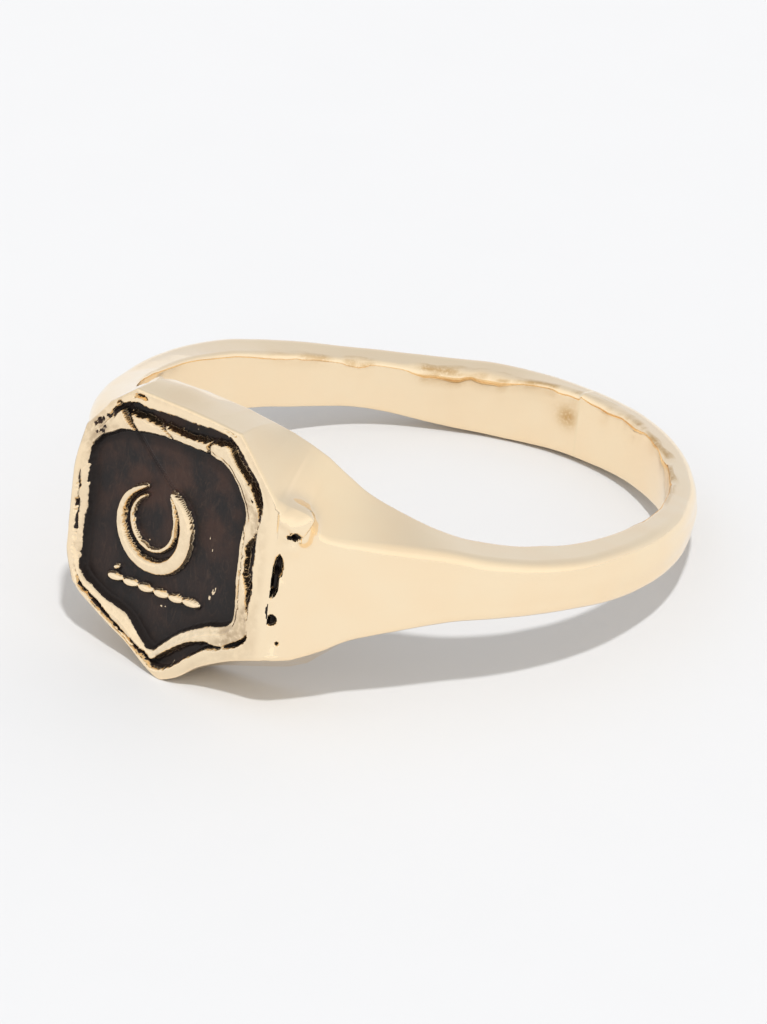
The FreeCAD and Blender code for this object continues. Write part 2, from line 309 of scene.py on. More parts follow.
def face_depth(x, z, gap, ragged, in_groove, across):
    """The worn face of the rims, and the wall down to the field."""
    wave = rough_noise(x * 0.9 + 5, z * 0.9 + 11, 2) - 0.5
    depth = 0.05 * wave + 0.012 * ragged
    depth = depth + INNER_RIM_DROP * np.where(in_groove, smooth(0, 0.15, across), 0)
    depth = depth + WORN_LIP * smooth(0.26, 0.04, gap) * smooth(-0.3, 0.2, x + z + 6)
    return depth + (FLOOR_DEPTH - depth) * smooth(0.03, -0.15, gap)


def cut_depths(x, z, fine):
    """How deep the cuts and cracks across the rims go."""
    depth = np.zeros(x.shape)
    for cut in CUTS:
        off, half, deep = near(through(cut), x, z)
        off = off + 0.04 * fine
        depth = np.maximum(depth, deep * smooth(half + 0.04, half - 0.03, off))
    return depth


def pitted(depth, x, z, ragged, fine):
    """The depth with the small pits of the rims in it."""
    for px, pz, radius, deep in RIM_PITS:
        off = np.hypot(x - px, z - pz) + 0.12 * fine + 0.08 * ragged
        depth = np.maximum(depth, deep * smooth(radius + 0.05, radius - 0.04, off))
    return depth


def relief_heights(x, z, fine):
    """Heights of the moon, the line inside it and the beads above the floor."""
    moon_at, moon_half = band(MOON, MOON_CENTRE, x, z)
    line_at, line_half = band(LINE, LINE_CENTRE, x, z)
    moon_at = moon_at + 0.10 * fine / np.maximum(moon_half, 0.05) * 0.3
    moon = MOON_HEIGHT * smooth(0, 0.10, moon_half) * np.sqrt(np.clip(1 - moon_at**4, 0, 1))
    line = LINE_HEIGHT * smooth(0, 0.05, line_half) * np.sqrt(np.clip(1 - line_at**4, 0, 1))
    beads = np.zeros(x.shape)
    for bx, bz, long, tall in BEADS:
        r2 = ((x - bx) / long) ** 2 + ((z - bz - BEAD_SLOPE * (x - bx)) / tall) ** 2
        beads = np.maximum(beads, BEAD_HEIGHT * np.sqrt(np.clip(1 - r2**1.5, 0, 1)))
    return moon, line, beads


def floor_depths(x, z):
    """The field's brushed floor, with its scratches."""
    depth = FLOOR_DEPTH + 0.012 * (rough_noise(x * 6, z * 2.2, 1) - 0.5)
    for scratch in SCRATCHES:
        off, half, deep = near(through(scratch), x, z)
        depth = depth + deep * smooth(half + 0.03, half - 0.01, off)
    return depth


def oxide(x, z, gap, relief, blackened, cuts, ragged, fine):
    """How dark each point of the seal is, and how sooty that dark is."""
    inner = gap < -FIELD_LIP
    dark = smooth(0.05, 0.14, blackened) * (1 - 0.45 * smooth(0.02, 0.30, fine))
    dark = np.maximum(dark, smooth(0.14, 0.26, cuts))
    dark = np.maximum(dark, smooth(0.02, -0.06, gap + 0.05 * ragged))
    dark = np.where(inner, 1 - smooth(0.05, 0.15, relief), dark)
    for px, pz, radius, _ in RIM_PITS:
        off = np.hypot(x - px, z - pz) + 0.10 * fine + 0.06 * ragged
        dark = np.maximum(dark, smooth(radius + 0.05, radius - 0.03, off))
    for px, pz, half, tall in BLEMISHES:
        off = np.hypot((x - px) / half, (z - pz) / tall) + 1.2 * fine
        dark = np.where(inner, dark - 0.75 * smooth(1.3, 0.6, off), dark)
    soot = np.where(gap < 0.05, np.exp(np.minimum(gap + 0.10, 0) / 0.30), GROOVE_SOOT)
    soot = np.maximum(soot, np.where(inner, smooth(0.0, 0.04, relief) * 0.8, 0))
    return dark, soot


def seal(x, z):
    """The seal at (x, z): depth behind the face, piece names, dark and soot."""
    ragged, fine = edge_noise(x, z)
    gap = field_gap(x, z, ragged, fine)
    inner = gap < -FIELD_LIP
    groove_line = through(GROOVE, True, 4)
    across, half, deep = near(groove_line, x, z)
    in_groove = inside(groove_line[:, :2], x, z)

    depth = face_depth(x, z, gap, ragged, in_groove, across)
    edge = across + 0.08 * ragged + 0.06 * fine
    blackened = deep * smooth(half + 0.05, half - 0.05, edge)
    bevel = np.where(in_groove, 0.05 + 0.8 * half, 0.05)
    depth = np.maximum(depth, deep * smooth(half + bevel, half - 0.05, edge))
    cuts = cut_depths(x, z, fine)
    depth = pitted(np.maximum(depth, cuts), x, z, ragged, fine)
    moon, line, beads = relief_heights(x, z, fine)
    relief = np.maximum(np.maximum(moon, line), beads)
    depth = np.where(inner, np.maximum(floor_depths(x, z) - relief, 0), depth)
    dark, soot = oxide(x, z, gap, relief, blackened, cuts, ragged, fine)

    label = np.full(x.shape, "outer_rim", dtype=object)
    label[in_groove] = "inner_rim"
    label[(across < half) & (deep > 0.2)] = "groove_patina"
    label[inner] = "field_patina"
    label[inner & (moon > 0.05)] = "moon"
    label[inner & (line > 0.05) & (line > moon)] = "moon_line"
    label[inner & (beads > 0.05)] = "bead_row"
    return depth, label, dark, soot


# The master surface: a grid of sections round the ring


def columns():
    """Angles of the sections, close together on the seal and the shoulders."""
    step_x = 0.048
    front = np.linspace(-CORNER_X, CORNER_X, int(2 * CORNER_X / step_x))
    front = np.degrees(np.arctan2(front, REACH))
    close = np.arange(CORNER_ANGLE + 0.22, 28, 0.22)
    loose = np.concatenate([np.arange(28, 44, 0.7), np.arange(44, 178, 1.3)])
    seam = np.array([178.6, 179.3, 179.72])
    side = np.concatenate([close, loose, seam])
    return np.concatenate([-side[::-1], front, side])


def side_values(angle):
    """Section sizes at signed angles, from the tables of the two arms."""
    values = np.zeros((5, len(angle)))
    for table, chosen in ((RIGHT, angle >= 0), (LEFT, angle < 0)):
        stops = np.array(table, float)
        mirrored = np.vstack([stops, stops[-2::-1]])
        mirrored[len(stops):, 0] = 360 - mirrored[len(stops):, 0]
        line = through(mirrored, steps=12)
        for k in range(5):
            found = np.interp(np.abs(angle), line[:, 0], line[:, k + 1])
            values[k] = np.where(chosen, found, values[k])
    return values


def sections(angle):
    """Edges and outer radius of every section, eased from the head into the arms."""
    size = np.abs(angle)
    top_in, top_out, low_out, low_in, wall = side_values(angle)
    front = size <= CORNER_ANGLE + 1e-6
    x_front = REACH * np.tan(np.radians(np.clip(angle, -CORNER_ANGLE, CORNER_ANGLE)))
    outline_top = np.interp(x_front, *np.array(OUTLINE_TOP).T)
    low_line = through(OUTLINE_LOW, steps=6)
    outline_low = np.interp(x_front, low_line[:, 0], low_line[:, 1])
    mouth_top = np.interp(size, *np.array(BORE_MOUTH_TOP).T)
    mouth_low = np.interp(size, *np.array(BORE_MOUTH_LOW).T)

    corner_radius = REACH / math.cos(math.radians(CORNER_ANGLE))
    joint = np.clip((size - CORNER_ANGLE) / (JOINT_ANGLE - CORNER_ANGLE), 0, 1)
    ease = joint**0.8
    before = size < JOINT_ANGLE
    top_out = np.where(before, outline_top + (top_out - outline_top) * ease, top_out)
    low_out = np.where(before, outline_low + (low_out - outline_low) * joint, low_out)
    top_in = np.where(before, mouth_top + (top_in - mouth_top) * joint, top_in)
    low_in = np.where(before, mouth_low + (low_in - mouth_low) * joint, low_in)
    side_radius = BORE + wall
    side_radius = np.where(before, corner_radius + (side_radius - corner_radius) * joint, side_radius)
    radius = np.where(front, REACH / np.cos(np.radians(angle)), side_radius)
    rounding = 0.07 * np.exp(-((size - CORNER_ANGLE) / 0.9) ** 2)
    return top_in, top_out, low_out, low_in, radius - rounding, front


def fillet(corner, towards, away, reach, count):
    """Points round a corner, from the edge before it to the edge after it."""
    start = corner + towards * reach[:, None]
    end = corner + away * reach[:, None]
    out = []
    for t in (np.arange(count) + 0.5) / count:
        out.append((1 - t) ** 2 * start + 2 * t * (1 - t) * corner + t**2 * end)
    return out, start, end


OUTER_ROWS = 176  # across the face, close enough for the seal's relief
# Points round each corner of a section and along each side after it, from the
# bore's lower edge up its wall, over the top, down the outer face and back.
CORNER_ROWS = (5, 6, 8, 8)
SIDE_ROWS = (14, 12, OUTER_ROWS, 12)


def corner_reaches(angle, size):
    """How far the rounding of each corner reaches along its sides."""
    soft = smooth(22, 60, size)
    uneven = rough_noise(angle / 5.5 + 3, 0 * angle + 2) - 0.35
    inner_top = 0.12 + 0.06 * soft + 0.55 * np.clip(uneven, 0, 1) * soft * smooth(90, 130, size)
    return [0.15 + 0.05 * soft, inner_top, 0.13 + 0.30 * soft, 0.14 + 0.22 * soft]


def rounded(corners, reaches):
    """The points round each of the four corners, with where they start and end."""
    out = []
    for k in range(4):
        corner, before, after = corners[k], corners[k - 1], corners[(k + 1) % 4]
        to_before = before - corner
        to_after = after - corner
        length_before = np.linalg.norm(to_before, axis=1)
        length_after = np.linalg.norm(to_after, axis=1)
        reach = np.minimum(reaches[k], 0.42 * np.minimum(length_before, length_after))
        to_before /= length_before[:, None]
        to_after /= length_after[:, None]
        out.append(fillet(corner, to_before, to_after, reach, CORNER_ROWS[k]))
    return out


def section_grid(corners, reaches):
    """All sections as (depth from the bore, z), with the rows of the outer face."""
    rounds = rounded(corners, reaches)
    rows = []
    outer = None
    for k in range(4):
        points, _, end = rounds[k]
        rows += points
        start = rounds[(k + 1) % 4][1]
        if k == 2:
            outer = (len(rows), len(rows) + SIDE_ROWS[k])
        for t in np.arange(SIDE_ROWS[k]) / (SIDE_ROWS[k] - 1):
            rows.append(end + (start - end) * t)
    return np.stack(rows, 1), outer


def swell(grid, angle, size, outer):
    """Crown the top of the head, and bulge the shank's outer face."""
    crown = (0.05 + 0.20 * smooth(4, -9, angle)) * smooth(26, 19, size)
    begin = CORNER_ROWS[0] + SIDE_ROWS[0] + CORNER_ROWS[1]
    t = np.linspace(0, 1, SIDE_ROWS[1])
    grid[:, begin:begin + SIDE_ROWS[1], 1] += crown[:, None] * np.sin(math.pi * t)[None, :]
    bulge = 0.05 * smooth(30, 60, size)
    first, last = outer
    t = np.linspace(0, 1, last - first)
    grid[:, first:last, 0] += bulge[:, None] * (16 * (t * (1 - t)) ** 2)[None, :]


def seal_share(count, outer):
    """How much each row follows the seal: the face's rounded edge less and less."""
    first, last = outer
    share = np.zeros(count)
    share[first:last] = 1
    share[first - CORNER_ROWS[2]:first] = np.linspace(0, 1, CORNER_ROWS[2] + 1)[:-1]
    share[last:last + CORNER_ROWS[3]] = np.linspace(1, 0, CORNER_ROWS[3] + 1)[1:]
    return share


def master():
    """All points of the ring's surface, with the rows of its outer face."""
    angle = columns()
    top_in, top_out, low_out, low_in, radius, front = sections(angle)
    length = radius - BORE
    size = np.abs(angle)
    zero = np.zeros(len(angle))
    wavy = rough_noise(angle / 9 + 40, zero + 6, 1) - 0.5
    top_in = top_in + 0.10 * wavy * smooth(40, 80, size)
    corners = [
        np.stack([zero, low_in], 1),
        np.stack([zero, top_in], 1),
        np.stack([length, top_out], 1),
        np.stack([length, low_out], 1),
    ]
    grid, outer = section_grid(corners, corner_reaches(angle, size))
    swell(grid, angle, size, outer)
    turn = np.radians(angle)[:, None]
    r = BORE + grid[:, :, 0]
    points = np.stack([r * np.sin(turn), -r * np.cos(turn), grid[:, :, 1]], 2)
    return points, angle, front, outer, seal_share(grid.shape[1], outer)


def surface_normals(points):
    """The direction across the grid's surface at each of its points."""
    along = np.roll(points, -1, 0) - np.roll(points, 1, 0)
    across = np.roll(points, -1, 1) - np.roll(points, 1, 1)
    normal = np.cross(along, across)
    normal /= np.maximum(np.linalg.norm(normal, axis=2)[:, :, None], 1e-12)
    return normal


def bow_left_edge(points, size):
    """Let the seal's left edge stand out in the middle of its height."""
    x, y, z = points[:, :, 0], points[:, :, 1], points[:, :, 2]
    left = smooth(-3.2, -CORNER_X, x) * smooth(-8.2, -9.2, y) * smooth(24.5, 21.6, size)
    x -= LEFT_BOW * left * smooth(3.8, 1.0, z) * smooth(-3.2, -1.4, z)


def backing_depth(size, count, outer):
    """How far pieces go in: deep behind the seal, little where the metal is thin."""
    first, last = outer
    row = np.arange(count)
    behind = np.clip((row - first + 4) / 6, 0, 1) * np.clip((last + 4 - row) / 6, 0, 1)
    return SHALLOW + (BACKING - SHALLOW) * behind[None, :] * smooth(40, 30, size)


def shape_ring():
    """The finished surface, the way in behind it, and its marks and labels."""
    points, angle, front, outer, share = master()
    first, last = outer
    normal = surface_normals(points)
    normal *= np.sign((normal[:, (first + last) // 2, 1] * -np.cos(np.radians(angle))).mean())

    x, y, z = points[:, :, 0], points[:, :, 1], points[:, :, 2]
    size = np.abs(angle)[:, None] + 0 * z
    bow_left_edge(points, size)
    rows = np.zeros(points.shape[1], bool)
    rows[first:last] = True
    on_seal = front[:, None] & rows[None, :]
    depth, label, dark, soot = seal(x, z)
    part = share[None, :] * front[:, None]
    y += depth * part
    dark = dark * part
    soot = soot * part

    shoulders(points, angle, size, normal, rows, on_seal, dark, soot)
    dull = dull_gold(depth, label, x, z) * part
    # one mark paints the gold's reflection of itself as ochre streaks along the bore's upper edge,
    # together with a real stain beside the seam
    marks = {"dark": dark, "soot": soot, "dull": dull, "painted_reflection_and_stain": reflection_streaks_and_seam_stain(angle, z, first)}
    inward = normal * backing_depth(size, z.shape[1], outer)[:, :, None]
    return points, inward, marks, label, on_seal, angle, size, outer


def dull_gold(depth, label, x, z):
    """How tarnished the gold is: most in low places, least on edges that stand out."""
    near_by = depth.copy()
    for reach in (2, 4, 6):
        shifted = [np.roll(near_by, step, axis) for step in (-reach, reach) for axis in (0, 1)]
        near_by = (near_by + sum(shifted)) / 5
    standing = smooth(0.015, 0.075, near_by - depth)
    low = np.where((label == "inner_rim") | (label == "moon") | (label == "moon_line"), 0.85, 0.25)
    upper_left = smooth(1.5, 3.0, z) * smooth(-1.6, -3.0, x) * (label == "outer_rim")
    low = np.maximum(low, 0.7 * upper_left)
    patchy = 0.55 + 0.9 * rough_noise(x * 2.4 + 30, z * 2.4 + 8, 1)
    edge = smooth(4.0, 3.55, x) * smooth(-4.4, -3.6, z)
    return np.clip(low * patchy * (1 - 0.75 * standing) * edge, 0, 1)


def reflection_streaks_and_seam_stain(angle, z, first):
    """Ochre streaks along the bore's upper edge, a painted reflection of the gold's own inner wall,
    and a real stain beside the seam.
    """
    size = np.abs(angle)
    where = rough_noise(angle / 5 + 11, 0 * angle + 3, 2)
    streak = smooth(0.32, 0.52, where) * smooth(95, 135, size)
    rows = np.arange(z.shape[1])
    at_edge = np.exp(-(((rows - REFLECTION_ROW) / 3.6) ** 2))
    along = smooth(0.32, 0.56, rough_noise(angle[:, None] / 8, 0.8 * rows[None, :], 1))
    # painted reflection: ochre streaks on the fillet at the bore's upper edge, where the gold
    # reflects its own inner wall
    painted_reflection_and_stain = 0.9 * streak[:, None] * at_edge[None, :] * along
    round_back = np.where(angle > 0, angle, angle + 360)[:, None]
    at, height, wide, tall = SEAM_STAIN
    patch = np.exp(-(((round_back - at) / wide) ** 2) - ((z - height) / tall) ** 2)
    on_bore = (rows < first - 20)[None, :]
    return np.clip(painted_reflection_and_stain + patch * on_bore * (round_back > 180), 0, 1)


def add_lumps(lift, points, size, rugged):
    """The irregular lump of metal on the right shoulder, as mounds that merge."""
    for place, height, reach, radius, high in LUMPS:
        turn = math.radians(place)
        centre = np.array((reach * math.sin(turn), -reach * math.cos(turn), height))
        gap = np.linalg.norm(points - centre, axis=2) / radius
        mound = high * np.exp(-0.9 * np.maximum(gap + 0.12 * rugged, 0) ** 2.2)
        lift[:] = (lift**3 + mound**3) ** (1 / 3)
    lift *= smooth(19.4, 20.6, size)


def sink_trough(lift, size, z, wob, where):
    """The shallow trough between the rim's right ridge and the shoulder."""
    at, wide, deep = TROUGH
    ends = smooth(2.6, 1.6, z) * smooth(-2.6, -1.6, z)
    lift -= deep * np.exp(-(((size - at - 0.25 * wob) / wide) ** 2)) * ends * where


def sink_pits(lift, size, z, wob, where, dark, soot):
    """The pits of the right shoulder, black inside."""
    for pa, pz, wide, tall, deep in SHOULDER_PITS:
        off = np.hypot((size - pa) / wide, (z - pz) / tall) + 0.55 * wob
        hole = smooth(1.25, 0.75, off) * where
        lift -= deep * hole
        dark[:] = np.maximum(dark, smooth(0.30, 0.7, hole))
        soot[:] = np.maximum(soot, hole)


def add_hand_work(lift, degrees, size, z):
    """The slight unevenness that filing and polishing leave."""
    lift += 0.045 * (noise(degrees / 15 + 30, z * 0.45 + 9, 2) - 0.5) * smooth(26, 40, size)
    lift += 0.020 * (noise(degrees / 6 + 30, z * 0.9 + 3, 1) - 0.5) * smooth(24, 36, size)
    lift += 0.012 * (rough_noise(degrees / 2 + 9, z * 2.2, 2) - 0.5) * smooth(20, 22, size)


def shoulders(points, angle, size, normal, rows, on_seal, dark, soot):
    """Lumps, pits and trough beside the seal, and uneven metal all round."""
    z = points[:, :, 2]
    lift = np.zeros(z.shape)
    right = (np.sign(angle)[:, None] > 0) & (size > 20.2)
    where = right * rows[None, :]
    wob = rough_noise(size * 1.1, z * 3.0 + 7, 1) - 0.5
    rugged = rough_noise(size * 1.6 + 4, z * 2.6 + 3, 2) - 0.5
    add_lumps(lift, points, size, rugged)
    sink_trough(lift, size, z, wob, where)
    sink_pits(lift, size, z, wob, where, dark, soot)
    add_hand_work(lift, angle[:, None], size, z)
    points += normal * np.where(on_seal, 0, lift)[:, :, None]


def quad_pieces(points, label, on_seal, angle, size, outer):
    """The name of the piece that each cell of the grid belongs to."""
    name = np.full(size.shape, "head", dtype=object)
    middle = (size + np.roll(size, -1, 0)) / 2
    side = (angle[:, None] + 0 * size) > 0
    name[(middle > JOINT_ANGLE) & side] = "shank_right"
    name[(middle > JOINT_ANGLE) & ~side] = "shank_left"
    name[-1, :] = "seam"
    seal_cell = on_seal & np.roll(on_seal, -1, 0) & np.roll(on_seal, -1, 1)
    name = np.where(seal_cell, label, name)
    at, height, wide, tall = LUMP_PIECE
    bead = np.hypot((size - at) / wide, (points[:, :, 2] - height) / tall) < 1
    rows = np.zeros(size.shape, bool)
    rows[:, outer[0] + 2: outer[1] - 2] = True
    name[bead & rows & side & (middle > CORNER_ANGLE + 0.3)] = "casting_bead"
    for pa, pz, wide, tall, _ in FILLED_PITS:
        pit = np.hypot((size - pa) / wide, (points[:, :, 2] - pz) / tall) < 0.9
        name[pit & rows & side & (middle > CORNER_ANGLE)] = "pit_patina"
    return name


SLOTS = {
    "head": "gold", "shank_left": "gold", "shank_right": "gold", "seam": "solder",
    "outer_rim": "seal_gold", "inner_rim": "seal_gold", "moon": "seal_gold",
    "moon_line": "seal_gold", "bead_row": "seal_gold", "casting_bead": "gold",
    "field_patina": "patina", "groove_patina": "patina", "pit_patina": "patina",
}
STANDS_FOR = {
    "head": ("head_block", "head_solder_left", "head_solder_right", "seal_solder", "seal_plate"),
    "shank_left": ("shank_arm_left",), "shank_right": ("shank_arm_right",),
    "seam": ("sizing_seam",), "outer_rim": ("outer_rim",), "inner_rim": ("inner_rim",),
    "moon": ("moon",), "moon_line": ("moon_line",), "bead_row": ("bead_row",),
    "casting_bead": ("casting_bead",), "field_patina": ("field_patina",),
    "groove_patina": ("groove_patina",), "pit_patina": ("pit_patina",),
}


def quads_of(shape):
    """The four corners of every cell of a grid that closes both ways."""
    across, down = shape
    index = np.arange(across * down).reshape(across, down)
    right = np.roll(index, -1, 0)
    return np.stack([index, right, np.roll(right, -1, 1), np.roll(index, -1, 1)], 2)


def closed_piece(quads, points, inward):
    """A patch of cells with a back surface and walls, as one closed solid."""
    used, inverse = np.unique(quads, return_inverse=True)
    faces = inverse.reshape(quads.shape)
    count = len(used)
    front = points[used]
    back = front - inward[used]
    edges = np.concatenate([faces[:, [k, (k + 1) % 4]] for k in range(4)])
    keys = edges[:, 0] * (count + 1) + edges[:, 1]
    reverse = edges[:, 1] * (count + 1) + edges[:, 0]
    border = edges[~np.isin(keys, reverse)]
    walls = np.stack([border[:, 1], border[:, 0], border[:, 0] + count, border[:, 1] + count], 1)
    all_faces = np.vstack([faces, faces[:, ::-1] + count, walls])
    return np.vstack([front, back]), all_faces, used


def add_mesh(name, verts, faces, shade, marks):
    """An object with smooth shading, and the marks that its material reads."""
    mesh = bpy.data.meshes.new(name)
    mesh.from_pydata((verts * MM).tolist(), [], faces.tolist())
    mesh.polygons.foreach_set("use_smooth", [True] * len(faces))
    for mark, values in marks.items():
        layer = mesh.attributes.new(mark, "FLOAT", "POINT")
        layer.data.foreach_set("value", values.astype(np.float32))
    mesh.update()
    mesh.normals_split_custom_set_from_vertices(shade.tolist())
    piece = bpy.data.objects.new(name, mesh)
    bpy.context.scene.collection.objects.link(piece)
    return piece


def build_ring(materials):
    """Cut the surface into its pieces, facing outwards."""
    points, base, marks, label, on_seal, angle, size, outer = shape_ring()
    names = quad_pieces(points, label, on_seal, angle, size, outer)
    quads = quads_of(size.shape)
    flat = points.reshape(-1, 3)
    normals = surface_normals(points)
    facing = normals[:, (outer[0] + outer[1]) // 2]
    turn = np.radians(angle)
    away = facing[:, 0] * np.sin(turn) - facing[:, 1] * np.cos(turn)
    if away.mean() < 0:
        normals = -normals
        quads = quads[:, :, ::-1]
    normals = normals.reshape(-1, 3)
    base = base.reshape(-1, 3)
    marks = {mark: values.reshape(-1) for mark, values in marks.items()}
    for piece_name, slot in SLOTS.items():
        chosen = quads[names == piece_name]
        verts, faces, used = closed_piece(chosen, flat, base)
        shade = np.vstack([normals[used], -normals[used]])
        both = {mark: np.tile(values[used], 2) for mark, values in marks.items()}
        piece = add_mesh(piece_name, verts, faces, shade, both)
        piece.data.materials.append(materials[slot])
        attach(piece, "root")
        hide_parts(*STANDS_FOR[piece_name])


# Materials


def node(tree, kind, **values):
    made = tree.nodes.new(kind)
    for key, value in values.items():
        setattr(made, key, value)
    return made


def number(tree, operation, a, b=None, c=None):
    """A sum in a material, of sockets and plain numbers."""
    made = node(tree, "ShaderNodeMath", operation=operation)
    for socket, value in zip(made.inputs, (a, b, c)):
        if value is None:
            continue
        if isinstance(value, (int, float)):
            socket.default_value = value
        else:
            tree.links.new(value, socket)
    return made.outputs[0]


def noise_node(tree, place, scale, detail=4.0, rough=0.55, twist=0.0):
    made = node(tree, "ShaderNodeTexNoise")
    made.inputs["Scale"].default_value = scale
    made.inputs["Detail"].default_value = detail
    made.inputs["Roughness"].default_value = rough
    made.inputs["Distortion"].default_value = twist
    tree.links.new(place, made.inputs["Vector"])
    return made.outputs["Fac"]


def ramp(tree, value, low, high, start=0.0, end=1.0):
    """From start to end while the value goes from low to high, eased."""
    made = node(tree, "ShaderNodeMapRange", interpolation_type="SMOOTHSTEP")
    made.inputs["From Min"].default_value = low
    made.inputs["From Max"].default_value = high
    made.inputs["To Min"].default_value = start
    made.inputs["To Max"].default_value = end
    tree.links.new(value, made.inputs["Value"])
    return made.outputs["Result"]


def blend_colour(tree, factor, a, b):
    made = node(tree, "ShaderNodeMix", data_type="RGBA")
    tree.links.new(factor, made.inputs["Factor"])
    for socket, value in ((made.inputs[6], a), (made.inputs[7], b)):
        if isinstance(value, tuple):
            socket.default_value = value + (1.0,)
        else:
            tree.links.new(value, socket)
    return made.outputs[2]


def stretched(tree, place, scale):
    """Coordinates turned and scaled, which draw a noise out into strokes."""
    made = node(tree, "ShaderNodeMapping")
    made.inputs["Scale"].default_value = scale
    made.inputs["Rotation"].default_value = (0, STROKE_TURN, 0)
    tree.links.new(place, made.inputs["Vector"])
    return made.outputs["Vector"]


BRIGHT_GOLD = (1.0, 0.82, 0.57)
DEEP_GOLD = (1.0, 0.80, 0.545)
BRIGHT_SOLDER = (0.985, 0.815, 0.56)
DEEP_SOLDER = (0.97, 0.79, 0.535)
DULL = (0.56, 0.42, 0.27)
# ochre of the painted reflection streaks at the bore's upper edge, also used for the real stain
# beside the seam
OCHRE_REFLECTION_AND_STAIN = (0.62, 0.38, 0.15)
OXIDE_COLD = (0.013, 0.011, 0.011)
OXIDE_WARM = (0.048, 0.024, 0.017)
# lighter oxide colour that paints highlights along the brush strokes
OXIDE_STROKE_HIGHLIGHT = (0.085, 0.055, 0.042)
SOOT = (0.011, 0.008, 0.007)
GOLD_ROUGHNESS = 0.12
SOLDER_ROUGHNESS = 0.14
OXIDE_SPECULAR = 0.2
STROKES = (2600, 2600, 1100)  # scale of the brush strokes, longer along Z
STROKE_TURN = 0.7
BUMP_DISTANCE = 0.03 * MM


def mark(tree, name):
    """A value that the geometry carries at each of its points."""
    return node(tree, "ShaderNodeAttribute", attribute_name=name).outputs["Fac"]


def times(tree, a, b):
    return number(tree, "MULTIPLY", a, b)


def gold_colour(tree, place, ragged, bright, deep):
    """Gold in two close tones, tarnished where the surface is marked, with painted reflection streaks
    in ochre along the bore's upper edge and a stain beside the seam.
    """
    cloud = noise_node(tree, place, 420, 3.0)
    gold = blend_colour(tree, ramp(tree, cloud, 0.35, 0.65), bright, deep)
    fleck = noise_node(tree, place, 3800, 5.0, 0.65)
    tarnish = times(tree, mark(tree, "dull"), ramp(tree, fleck, 0.25, 0.6))
    gold = blend_colour(tree, tarnish, gold, DULL)
    # painted reflection streaks, and the real stain beside the seam
    reflection_and_stain_share = times(tree, mark(tree, "painted_reflection_and_stain"), ramp(tree, ragged, 0.2, 0.55))
    return blend_colour(tree, reflection_and_stain_share, gold, OCHRE_REFLECTION_AND_STAIN)


def oxide_colour(tree, place, streak):
    """Near-black oxide, warmer towards the top, with real brush strokes whose lighter colour is a
    painted highlight, and soot.
    """
    broad = noise_node(tree, place, 700, 5.0)
    split = node(tree, "ShaderNodeSeparateXYZ")
    tree.links.new(place, split.inputs[0])
    upper = ramp(tree, split.outputs["Z"], -1.5 * MM, 2.5 * MM)
    warm = times(tree, ramp(tree, broad, 0.36, 0.64), ramp(tree, upper, 0, 1, 0.35, 1.0))
    brown = blend_colour(tree, warm, OXIDE_COLD, OXIDE_WARM)
    # painted highlight: the brush strokes are lightened in colour as if they caught the light
    lit = times(tree, ramp(tree, streak, 0.46, 0.76), 0.5)
    brushed = blend_colour(tree, lit, brown, OXIDE_STROKE_HIGHLIGHT)
    return blend_colour(tree, mark(tree, "soot"), brushed, SOOT)


def metal_roughness(tree, place, streak, mask, bare, roughness):
    """Polished where the gold is bare, matt where the oxide covers it."""
    polish = noise_node(tree, place, 1500, 6.0)
    shine = ramp(tree, polish, 0.3, 0.75, roughness * 0.8, roughness * 1.5)
    matt = ramp(tree, streak, 0.35, 0.75, 0.34, 0.62)
    return number(tree, "ADD", times(tree, shine, bare), times(tree, matt, mask))


def metal_bump(tree, place, streak, mask):
    """Soft ripples of hand polishing, a fine grain, and brush strokes in the oxide."""
    ripple = noise_node(tree, place, 700, 2.0)
    grain = times(tree, noise_node(tree, place, 14000, 3.0), 0.05)
    brushed = times(tree, times(tree, streak, mask), 0.5)
    height = number(tree, "ADD", number(tree, "ADD", ripple, grain), brushed)
    bump = node(tree, "ShaderNodeBump")
    bump.inputs["Strength"].default_value = 0.25
    bump.inputs["Distance"].default_value = BUMP_DISTANCE
    tree.links.new(height, bump.inputs["Height"])
    return bump.outputs["Normal"]


def ring_metal(name, bright, deep, roughness):
    """Polished gold that turns to dark oxide wherever the surface is marked dark."""
    material = bpy.data.materials.new(name)
    material.use_nodes = True
    tree = material.node_tree
    shader = tree.nodes["Principled BSDF"]
    shader.inputs["Specular IOR Level"].default_value = OXIDE_SPECULAR
    place = node(tree, "ShaderNodeTexCoord").outputs["Object"]
    ragged = noise_node(tree, place, 9000, 5.0, 0.7)
    shifted = number(tree, "MULTIPLY_ADD", ragged, 0.9, -0.45)
    mask = ramp(tree, number(tree, "ADD", mark(tree, "dark"), shifted), 0.42, 0.58)
    bare = number(tree, "SUBTRACT", 1.0, mask)
    streak = noise_node(tree, stretched(tree, place, STROKES), 1.0, 8.0, 0.75, 2.5)

    gold = gold_colour(tree, place, ragged, bright, deep)
    colour = blend_colour(tree, mask, gold, oxide_colour(tree, place, streak))
    rough = metal_roughness(tree, place, streak, mask, bare, roughness)
    tree.links.new(colour, shader.inputs["Base Color"])
    tree.links.new(rough, shader.inputs["Roughness"])
    tree.links.new(bare, shader.inputs["Metallic"])
    tree.links.new(metal_bump(tree, place, streak, mask), shader.inputs["Normal"])
    return material


def make_materials():
    made = {}
    for slot in ("gold", "seal_gold", "patina"):
        made[slot] = ring_metal(slot, BRIGHT_GOLD, DEEP_GOLD, GOLD_ROUGHNESS)
    made["solder"] = ring_metal("solder", BRIGHT_SOLDER, DEEP_SOLDER, SOLDER_ROUGHNESS)
    return made


# Camera, floor and light

